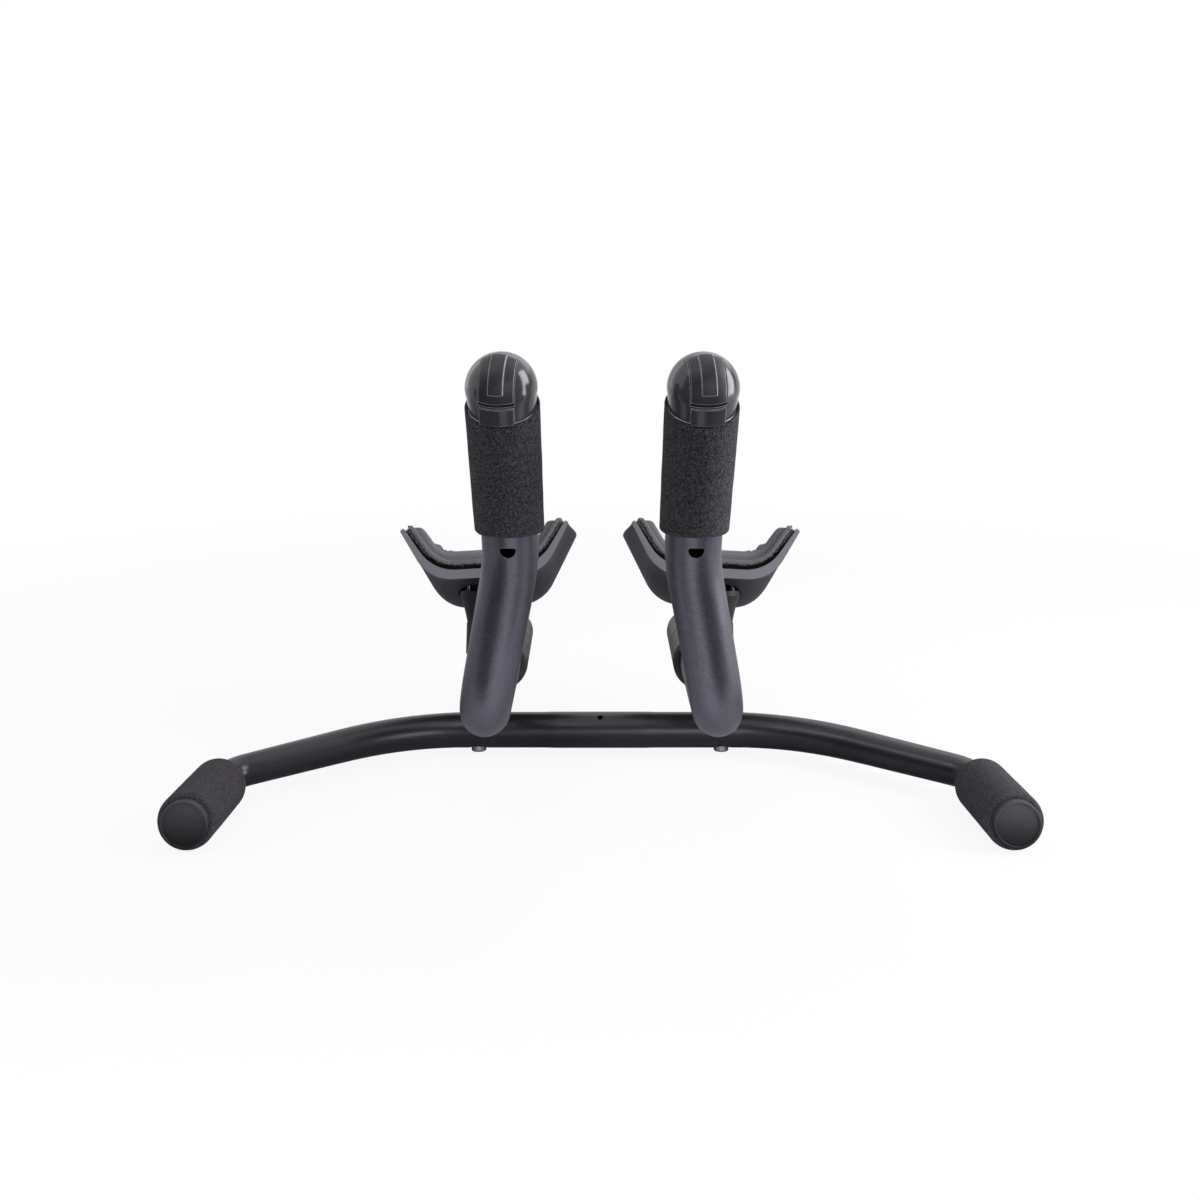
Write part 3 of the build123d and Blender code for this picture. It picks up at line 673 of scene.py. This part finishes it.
def foam_sleeve(base, axis, profile, seed, around=192):
    """A profile turned about an axis, with soft dents and ends that may slant.

    The profile's columns are radius, distance along the axis, and the slope of the ring there.
    Point = base + axis * (distance + slope * b) + a * across + b * back, where a and b are the radius
    times the cosine and sine of the angle. Outside the bore, the radius swells and sinks a little.
    """
    bore_band, slack = 1.6 * MM, 0.12 * MM
    dent_depth, dent_pitch = 0.10 * MM, 6 * MM
    axis = np.asarray(axis, float) / np.linalg.norm(axis)
    back = np.cross(axis, (1.0, 0.0, 0.0))
    back /= np.linalg.norm(back)
    across = np.cross(back, axis)
    radius, along, slope = np.asarray(profile, float).T
    angle = np.linspace(0, 2 * pi, around, endpoint=False)[None, :]
    outside = (radius > radius.min() + bore_band)[:, None]
    dent = dent_depth * waves(angle, along[:, None] / dent_pitch, seed) * outside
    r = radius[:, None] + dent - slack * outside
    a, b = r * np.cos(angle), r * np.sin(angle)
    points = (
        np.asarray(base)
        + (along[:, None] + slope[:, None] * b)[..., None] * axis
        + a[..., None] * across
        + b[..., None] * back)
    return points.reshape(-1, 3), ring_faces(len(radius), around, True)


def sleeve_profile(outer, bore, low, high, low_edge, high_edge, low_slope=0.0, high_slope=0.0, lip=None):
    """Radius, distance and slope round a sleeve's wall: low edge, outside, high edge, lip and bore."""
    edge_steps, side_steps = 9, 40
    turn = np.linspace(0, pi / 2, edge_steps)
    first = np.stack([outer - low_edge * (1 - np.sin(turn)), low + low_edge * (1 - np.cos(turn))], 1)
    last = np.stack([outer - high_edge * (1 - np.cos(turn)), high - high_edge * (1 - np.sin(turn))], 1)
    along = np.linspace(low + low_edge, high - high_edge, side_steps + 2)[1:-1]
    side = np.stack([np.full_like(along, outer), along], 1)
    slope = np.concatenate([
        np.full(edge_steps, low_slope),
        low_slope + (high_slope - low_slope) * np.linspace(0, 1, side_steps),
        np.full(edge_steps, high_slope)])
    wall = np.concatenate([np.concatenate([first, side, last]), slope[:, None]], axis=1)
    inner = [(bore, (low + high) / 2, 0.0), (bore, low, low_slope)]
    if lip:
        radius, floor = lip
        inner = [(radius, high, high_slope), (radius, floor, 0.0), (bore, floor, 0.0)] + inner
    else:
        inner = [(bore, high, high_slope)] + inner
    return np.concatenate([wall, np.array(inner)])


def to_frame(points, side, tilt):
    """Pod points, in millimetres, tilted about the bar, mirrored for the right side, in metres."""
    x, y, z = np.moveaxis(np.asarray(points, float), -1, 0)
    return np.stack([
        side * x,
        y * np.cos(tilt) + z * np.sin(tilt),
        z * np.cos(tilt) - y * np.sin(tilt)], axis=-1) * MM


class Trough:
    """The arm cup's trough, in millimetres: a flat floor, two round corners and two straight wings."""

    floor = 112.6
    wing = radians(56.0)
    toe = radians(2.0)
    cant = radians(3.0)
    centre = 80.0
    stations = np.array([-36.0, 0.0, 36.0, 74.0])
    wall = 3.6
    half_width = np.array([58.6, 61.7, 64.8, 59.0]) - wall
    tips = floor + np.array([28.2, 23.8, 19.4, 14.4])
    corner_r = 29.0

    def __init__(self, level):
        self.level = level
        corner = self.half_width - (self.tips - self.floor) / tan(self.wing)
        bend = self.corner_r * (self.tips - self.floor) / (self.tips[0] - self.floor)
        self.corner = np.polyfit(self.stations, corner - level * tan(self.wing / 2), 3)
        self.bend = np.polyfit(self.stations, bend - level, 3)
        self.tip = np.polyfit(self.stations, self.tips, 3)

    def section(self, y):
        """The radius of the corners and the half width of the flat floor at y."""
        r = np.polyval(self.bend, y)
        return r, np.polyval(self.corner, y) - r * tan(self.wing / 2)

    def reach(self, y, above):
        """Distance from the middle of the floor, along the surface, to a height above the wing's tip."""
        r, flat = self.section(y)
        rise = np.polyval(self.tip, y) + above - self.floor - self.level - r * (1 - np.cos(self.wing))
        return flat + r * self.wing + rise / np.sin(self.wing)

    def point(self, s, y, h):
        """The point at distance s across, y along and h above the surface: floor, arc, then wing."""
        r, flat = self.section(y)
        angle = np.clip((np.abs(s) - flat) / r, 0, self.wing)
        on_floor = np.minimum(np.abs(s), flat)
        on_wing = np.maximum(np.abs(s) - flat - r * self.wing, 0)
        x = np.sign(s) * (on_floor + (r - h) * np.sin(angle) + on_wing * np.cos(angle))
        z = self.level + r - (r - h) * np.cos(angle) + on_wing * np.sin(angle)
        turned = x * np.cos(self.toe) + y * np.sin(self.toe)
        return np.stack([
            self.centre + turned * np.cos(self.cant) + z * np.sin(self.cant),
            y * np.cos(self.toe) - x * np.sin(self.toe),
            self.floor + z * np.cos(self.cant) - turned * np.sin(self.cant)], axis=-1)


def outline(inset, half_width, front, rear, corner):
    """A rectangle with round corners, drawn inset from its edge, as one closed ring of points."""
    least_r, corner_steps, end_steps, side_steps = 0.3, 8, 170, 90
    a = half_width - inset
    b = (rear - front) / 2 - inset
    middle = (rear + front) / 2
    r = min(max(corner - inset, least_r), a, b)
    turn = np.linspace(0, pi / 2, corner_steps)
    pieces = []
    for quarter, count in enumerate((end_steps, side_steps, end_steps, side_steps)):
        heading = quarter * pi / 2
        along, out = (a, b) if quarter % 2 == 0 else (b, a)
        t = np.linspace(-(along - r), along - r, count)
        straight = np.stack([t, np.full_like(t, -out)], 1)
        bend = np.stack([along - r + r * np.sin(turn[1:-1]), -out + r - r * np.cos(turn[1:-1])], 1)
        local = np.concatenate([straight, bend])
        c, s = np.cos(heading), np.sin(heading)
        pieces.append(np.stack([c * local[:, 0] - s * local[:, 1], s * local[:, 0] + c * local[:, 1]], 1))
    ring = np.concatenate(pieces)
    return ring[:, 0], ring[:, 1] + middle


def inset_rings(profile, half_width, front, rear, corner):
    """A profile of inset and height carried round an outline: the points' places across, along and up."""
    rings = [outline(inset, half_width, front, rear, corner) for inset in profile[:, 0]]
    s, y = np.moveaxis(np.array(rings), 1, 0)
    return s, y, np.broadcast_to(profile[:, 1][:, None], s.shape).copy()


def pad_surface(side, tilt, flange, thickness, level):
    """An arm pad: rings inset from its outline carry a profile of inset and height.

    The profile runs from the middle of the underside out to the edge, up the flange, over a step to
    the body, round its edge and over a low crown to the middle. Each ring is laid on the trough. The
    flange's lower rim is raised in small arches, the positive half of a wandering sine wave. Two ripples
    near the rear are bell curves, and the body has soft dents.
    """
    front, rear, corner, half_width = -35.9, 73.9, 3.5, 66.0
    tip_rise, draft, crown_rise = 3.6, 0.85, 0.35
    rim_inset, rim_height = 1.01, 1.3
    arch_height, arch_rate, wander, wander_rate = 1.1, 2.4, 1.7, 0.77
    first_ripple, second_ripple, ripple_width = 37, 45, 2.6
    ripple_height, ripple_rear, ripple_length = 1.1, 70, 9
    dent_depth, dent_across, dent_along, dent_seed = 0.16, 9, 11, 5
    trough = Trough(level)
    depth = (rear - front) / 2
    under = np.stack([np.linspace(depth, 1.0, 14), np.zeros(14)], 1)
    edge = np.array([
        (0.45, 0.02), (0.15, 0.14), (0.02, 0.45), (0.0, 1.0), (0.0, flange - 0.8), (0.06, flange - 0.35),
        (0.3, flange - 0.06), (0.7, flange), (1.5, flange), (1.85, flange + 0.08), (2.05, flange + 0.35),
        (2.15, flange + 0.9), (2.2, thickness - 3.0), (2.35, thickness - 2.0), (2.75, thickness - 1.1),
        (3.4, thickness - 0.5), (4.3, thickness - 0.16), (5.5, thickness)])
    inward = np.linspace(6.5, depth, 40)
    crown = np.stack([inward, thickness + crown_rise * (1 - ((depth - inward) / depth) ** 2)], 1)
    profile = np.concatenate([under, edge, crown])
    s, y, h = inset_rings(profile, half_width, front, rear, corner)
    s = s * (trough.reach(y, tip_rise) - draft * h / tan(trough.wing)) / half_width
    rim = (profile[:, 0] < rim_inset)[:, None] * np.clip(1 - h / rim_height, 0, 1)
    around = s + y
    h += rim * arch_height * np.clip(
        np.sin(arch_rate * around + wander * np.sin(wander_rate * around)), 0, 1)
    top = np.clip((h - flange) / (thickness - flange), 0, 1)
    ripple = bell(np.abs(s), first_ripple, ripple_width)
    ripple += 0.9 * bell(np.abs(s), second_ripple, ripple_width)
    h += top * ripple_height * ripple * bell(y, ripple_rear, ripple_length)
    h += top * dent_depth * waves(s / dent_across, y / dent_along, dent_seed)
    points = to_frame(trough.point(s, y, h), side, tilt)
    weave = np.stack([s, y, h], -1) * MM
    return points.reshape(-1, 3), ring_faces(*s.shape, False), weave.reshape(-1, 3)


def bristle_tubes(trough, front, rear, thickness, seed):
    """Bristles out of a sheet's front and rear edges: points, and their places in the weave.

    Each bristle is a three-sided tube of rings along a bent line, thinner towards its tip. Its first and
    last rings have no width, which closes its ends.
    """
    count, front_share, root, root_rise = 2600, 0.72, 0.2, 0.2
    dice = np.random.default_rng(seed)
    share = dice.uniform(-1, 1, count)
    at_front = dice.uniform(size=count) < front_share
    h0 = dice.uniform(0.15, thickness - 0.1, count)[:, None]
    length = dice.uniform(0.5, 1.7, count)[:, None]
    sway = dice.normal(0, 0.7, count)[:, None]
    lift = dice.normal(0.1, 0.55, count)[:, None]
    girth = dice.uniform(0.07, 0.16, count)[:, None]
    y0 = np.where(at_front, front + root, rear - root)[:, None]
    out = np.where(at_front, -1.0, 1.0)[:, None]
    s0 = share[:, None] * trough.reach(y0, root_rise)
    t = np.array([0, 0, 1 / 3, 2 / 3, 1, 1])
    width = np.array([0, 1.0, 0.8, 0.6, 0.4, 0])
    turn = np.array([0, 2 * pi / 3, 4 * pi / 3])
    s = (s0 + length * sway * t)[..., None]
    y = (y0 + out * length * t * (1 - 0.25 * t))[..., None]
    h = np.clip(h0 + length * lift * t ** 2, 0.05, thickness + 0.5)[..., None]
    r = (girth * width)[..., None]
    shape = (count, t.size, turn.size)
    points = trough.point(s + r * np.cos(turn), np.broadcast_to(y, shape), h + r * np.sin(turn))
    places = (share[:, None, None], y * MM, h * MM)
    return points, np.stack([np.broadcast_to(place, shape) for place in places], -1)


def hook_surface(side, tilt, thickness, level, seed):
    """A hook-and-loop layer: a thin sheet with an uneven edge, and bristles that stand out of its edge."""
    front, rear, corner, half_width = -34.2, 72.2, 2.0, 64.0
    tip_rise = 0.5
    trough = Trough(level)
    depth = (rear - front) / 2
    under = np.stack([np.linspace(depth, 0.6, 12), np.zeros(12)], 1)
    edge = np.array([
        (0.2, 0.05), (0.0, 0.4), (0.0, 0.8), (0.35, 1.1), (0.1, 1.5), (0.0, thickness - 0.4),
        (0.2, thickness - 0.05)])
    over = np.stack([np.linspace(0.6, depth, 12), np.full(12, thickness)], 1)
    s, y, h = inset_rings(np.concatenate([under, edge, over]), half_width, front, rear, corner)
    reach = trough.reach(y, tip_rise)
    s = s * reach / half_width
    sheet = trough.point(s, y, h)
    sheet_weave = np.stack([s / reach, y * MM, h * MM], -1)
    bristles, bristle_weave = bristle_tubes(trough, front, rear, thickness, seed)
    count, rings, around, _ = bristles.shape
    starts = s.size + np.arange(count) * rings * around
    tubes = ring_faces(rings, around, False) + starts[:, None, None]
    points = np.concatenate([to_frame(part, side, tilt).reshape(-1, 3) for part in (sheet, bristles)])
    faces = np.concatenate([ring_faces(*s.shape, False), tubes.reshape(-1, 4)])
    weave = np.concatenate([sheet_weave.reshape(-1, 3), bristle_weave.reshape(-1, 3)])
    return points, faces, weave


def sweep_surface(drop):
    """A floor that turns up into a back wall: a line of floor, quarter circle and wall, carried across.

    Point = (x, y(v), z(v)). The front edge, where v is 0, is drawn out into a tongue under the uprights,
    by a flat-topped bell curve of x.
    """
    front, hem, floor_end, bend_r, wall_top = -0.315, 0.005, 2.0, 1.5, 5.0
    tongue, tongue_width = 0.3, 0.055
    turn = np.linspace(-pi / 2, 0, 25)
    y = np.concatenate([[front, front + hem], floor_end + bend_r * np.cos(turn), [floor_end + bend_r]])
    z = np.concatenate([[0.0, 0.0], bend_r + bend_r * np.sin(turn), [wall_top]]) - drop
    x = np.concatenate([[-6.0, -2.0, -0.5], np.linspace(-0.2, 0.2, 81), [0.5, 2.0, 6.0]])
    points = np.stack(np.broadcast_arrays(x[None, :], y[:, None], z[:, None]), -1)
    points[0, :, 1] -= tongue * np.exp(-((x / tongue_width) ** 4))
    grid = np.arange(points.shape[0] * points.shape[1]).reshape(points.shape[:2])
    faces = np.stack([grid[:-1, :-1], grid[:-1, 1:], grid[1:, 1:], grid[1:, :-1]], -1)
    return points.reshape(-1, 3), faces.reshape(-1, 4)


# Operators


class HANDLEBAR_OT_finishes(bpy.types.Operator):
    """Give every solid piece its finish"""

    bl_idname = "handlebar.finishes"
    bl_label = "Finishes"

    def dress(self, node, material):
        frame["nodes"][node].material_slots[0].material = material

    def execute(self, context):
        colours = context.scene.handlebar_colours
        finishes = {
            "bar_black": bar_paint(colours.bar),
            "pod_black": pod_paint(colours.pod),
            "extension_grey": extension_anodise(colours.extension),
            "foam_black": foam("grip_foam", scaled(colours.foam, 0.87), contrast=0.55),
            "plug_black": plug_plastic(colours.plug, context.scene.handlebar_sizes.bar_end_x),
            "steel": screw_steel("screw_steel", colours.steel),
            "switch_gloss": housing_gloss(colours.housing),
            "button_black": button_satin(colours.button),
            "contact_black": flat_plastic("contact_plastic", colours.contact),
            "board_green": flat_plastic("board_resist", colours.board),
            "cup_grey": cup_moulding(colours.cup),
            "hook_black": hook_fuzz(colours.hook, colours.pad),
            "pad_grey": pad_cloth(colours.pad),
        }
        for part in frame["record"]["subparts"]:
            self.dress(part["node"], finishes[part["material_slot"]])
        # The foam on the uprights is darker; the sleeves find it by its name
        foam("sleeve_foam", scaled(colours.foam, 0.8), contrast=0.85)
        cap = flat_plastic("cap_plastic", colours.plug)
        for name in SIDES:
            self.dress(f"{name}_extension_cap", cap)
        # The cup and neck screws sit in a shaded pocket: their steel is darkened to near black as painted
        # shade
        pocket_shade_steel = screw_steel("screw_pocket_shade", scaled(colours.steel, 0.07))
        for name in ("neck_screws", "cup_screws"):
            self.dress(name, pocket_shade_steel)
        return {"FINISHED"}


class HANDLEBAR_OT_bar_grips(bpy.types.Operator):
    """Make the foam grips on the bar's forward ends"""

    bl_idname = "handlebar.bar_grips"
    bl_label = "Bar Grips"

    def execute(self, context):
        sizes = context.scene.handlebar_sizes
        for seed, (name, side) in enumerate(SIDES.items(), 11):
            node = f"{name}_bar_grip"
            low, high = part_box(node)
            profile = sleeve_profile(
                sizes.bar_grip_radius, sizes.bar_grip_bore, 0.0, high.y - low.y,
                low_edge=2.4 * MM, high_edge=3.2 * MM)
            points, faces = foam_sleeve(
                (side * sizes.bar_end_x, low.y, 0.0), (0.0, 1.0, 0.0), profile, seed)
            piece = add_piece(
                f"{name}_bar_foam", points, faces, bpy.data.materials["grip_foam"], node)
        return {"FINISHED"}


class HANDLEBAR_OT_sleeves(bpy.types.Operator):
    """Make the foam sleeves on the upright ends of the extensions"""

    bl_idname = "handlebar.sleeves"
    bl_label = "Extension Sleeves"

    def execute(self, context):
        sizes = context.scene.handlebar_sizes
        lip_radius, lip_floor = 12.65 * MM, -0.25 * MM
        up = np.array([0.0, -np.sin(UPRIGHT_LEAN), np.cos(UPRIGHT_LEAN)])
        rise = sizes.sleeve_radius * tan(sizes.sleeve_top_slant)
        profile = sleeve_profile(
            sizes.sleeve_radius, sizes.sleeve_bore, -sizes.sleeve_length, rise,
            low_edge=2.2 * MM, high_edge=0.45 * MM,
            low_slope=-tan(sizes.sleeve_low_slant), high_slope=tan(sizes.sleeve_top_slant),
            lip=(lip_radius, lip_floor))
        for seed, (name, side) in enumerate(SIDES.items(), 21):
            base = to_frame(UPRIGHT_TOP, side, sizes.pod_tilt)
            axis = to_frame(up, side, sizes.pod_tilt)
            points, faces = foam_sleeve(base, axis, profile, seed)
            piece = add_piece(
                f"{name}_extension_foam", points, faces, bpy.data.materials["sleeve_foam"],
                f"{name}_extension_grip")
        return {"FINISHED"}


class HANDLEBAR_OT_hook_layers(bpy.types.Operator):
    """Make the hook-and-loop layers in the arm cups"""

    bl_idname = "handlebar.hook_layers"
    bl_label = "Hook Layers"

    def execute(self, context):
        sizes = context.scene.handlebar_sizes
        fuzz = bpy.data.materials["hook_fuzz"]
        for seed, (name, side) in enumerate(SIDES.items(), 31):
            points, faces, weave = hook_surface(
                side, sizes.pod_tilt, sizes.hook_thickness / MM, level=0.1, seed=seed)
            add_piece(
                f"{name}_hook_sheet", points, faces, fuzz, f"{name}_hook_layer", weave)
        return {"FINISHED"}


class HANDLEBAR_OT_arm_pads(bpy.types.Operator):
    """Make the arm pads"""

    bl_idname = "handlebar.arm_pads"
    bl_label = "Arm Pads"

    def execute(self, context):
        sizes = context.scene.handlebar_sizes
        cloth = bpy.data.materials["pad_cloth"]
        for name, side in SIDES.items():
            points, faces, weave = pad_surface(
                side, sizes.pod_tilt, sizes.pad_flange / MM, sizes.pad_thickness / MM,
                level=sizes.hook_thickness / MM + 0.2)
            piece = add_piece(
                f"{name}_pad_foam", points, faces, cloth, f"{name}_arm_pad", weave)
        return {"FINISHED"}


class HANDLEBAR_OT_stage(bpy.types.Operator):
    """Set the camera, the lights, the floor and the background"""

    bl_idname = "handlebar.stage"
    bl_label = "Stage"

    def add(self, name, data):
        made = bpy.data.objects.new(name, data)
        bpy.context.scene.collection.objects.link(made)
        return made

    def add_camera(self, stage):
        lens = bpy.data.cameras.new("camera")
        lens.lens = stage.lens
        lens.sensor_width = 36.0
        lens.sensor_fit = "HORIZONTAL"
        lens.shift_x = stage.shift_side
        lens.shift_y = stage.shift_up
        lens.clip_start = 0.01
        camera = self.add("camera", lens)
        camera.location = (stage.camera_side, -stage.camera_distance, stage.camera_height)
        camera.rotation_euler = (pi / 2, 0.0, 0.0)
        return camera

    def add_light(self, name, place, aim, size, power):
        lamp = bpy.data.lights.new(name, "AREA")
        lamp.shape = "RECTANGLE"
        lamp.size, lamp.size_y = size
        lamp.energy = power
        light = self.add(name, lamp)
        light.visible_camera = False
        light.location = place
        light.rotation_euler = (Vector(aim) - Vector(place)).to_track_quat("-Z", "Y").to_euler()

    def add_sweep(self, drop):
        points, faces = sweep_surface(drop)
        mesh = bpy.data.meshes.new("sweep")
        mesh.from_pydata(points.tolist(), [], faces.tolist())
        mesh.materials.append(sweep_white())
        smooth(mesh)
        sweep = self.add("sweep", mesh)

    def execute(self, context):
        scene = context.scene
        scene.view_settings.view_transform = "Standard"
        scene.camera = self.add_camera(scene.handlebar_stage)
        for light in LIGHTS:
            self.add_light(*light)
        self.add_sweep(scene.handlebar_stage.floor_drop)
        scene.world = studio_world()
        return {"FINISHED"}


class HANDLEBAR_PT_dress(bpy.types.Panel):
    """The handlebar's pieces, sizes and colours"""

    bl_label = "Aero Handlebar"
    bl_idname = "HANDLEBAR_PT_dress"
    bl_space_type = "VIEW_3D"
    bl_region_type = "UI"
    bl_category = "Handlebar"

    def draw(self, context):
        for operator in OPERATORS:
            self.layout.operator(operator.bl_idname)
        for group in (
            context.scene.handlebar_sizes, context.scene.handlebar_colours, context.scene.handlebar_stage,
        ):
            for name in group.bl_rna.properties.keys():
                if name not in ("rna_type", "name"):
                    self.layout.prop(group, name)


OPERATORS = (
    HANDLEBAR_OT_finishes,
    HANDLEBAR_OT_bar_grips,
    HANDLEBAR_OT_sleeves,
    HANDLEBAR_OT_hook_layers,
    HANDLEBAR_OT_arm_pads,
    HANDLEBAR_OT_stage,
)
CLASSES = (HandlebarSizes, HandlebarColours, HandlebarStage, *OPERATORS, HANDLEBAR_PT_dress)


def register():
    for cls in CLASSES:
        bpy.utils.register_class(cls)
    bpy.types.Scene.handlebar_sizes = bpy.props.PointerProperty(type=HandlebarSizes)
    bpy.types.Scene.handlebar_colours = bpy.props.PointerProperty(type=HandlebarColours)
    bpy.types.Scene.handlebar_stage = bpy.props.PointerProperty(type=HandlebarStage)


def unregister():
    del bpy.types.Scene.handlebar_stage
    del bpy.types.Scene.handlebar_colours
    del bpy.types.Scene.handlebar_sizes
    for cls in reversed(CLASSES):
        bpy.utils.unregister_class(cls)


def main():
    register()
    bpy.ops.handlebar.finishes()
    bpy.ops.handlebar.bar_grips()
    bpy.ops.handlebar.sleeves()
    bpy.ops.handlebar.hook_layers()
    bpy.ops.handlebar.arm_pads()
    bpy.ops.handlebar.stage()
    bpy.context.view_layer.update()


if __name__ == "__main__":
    main()
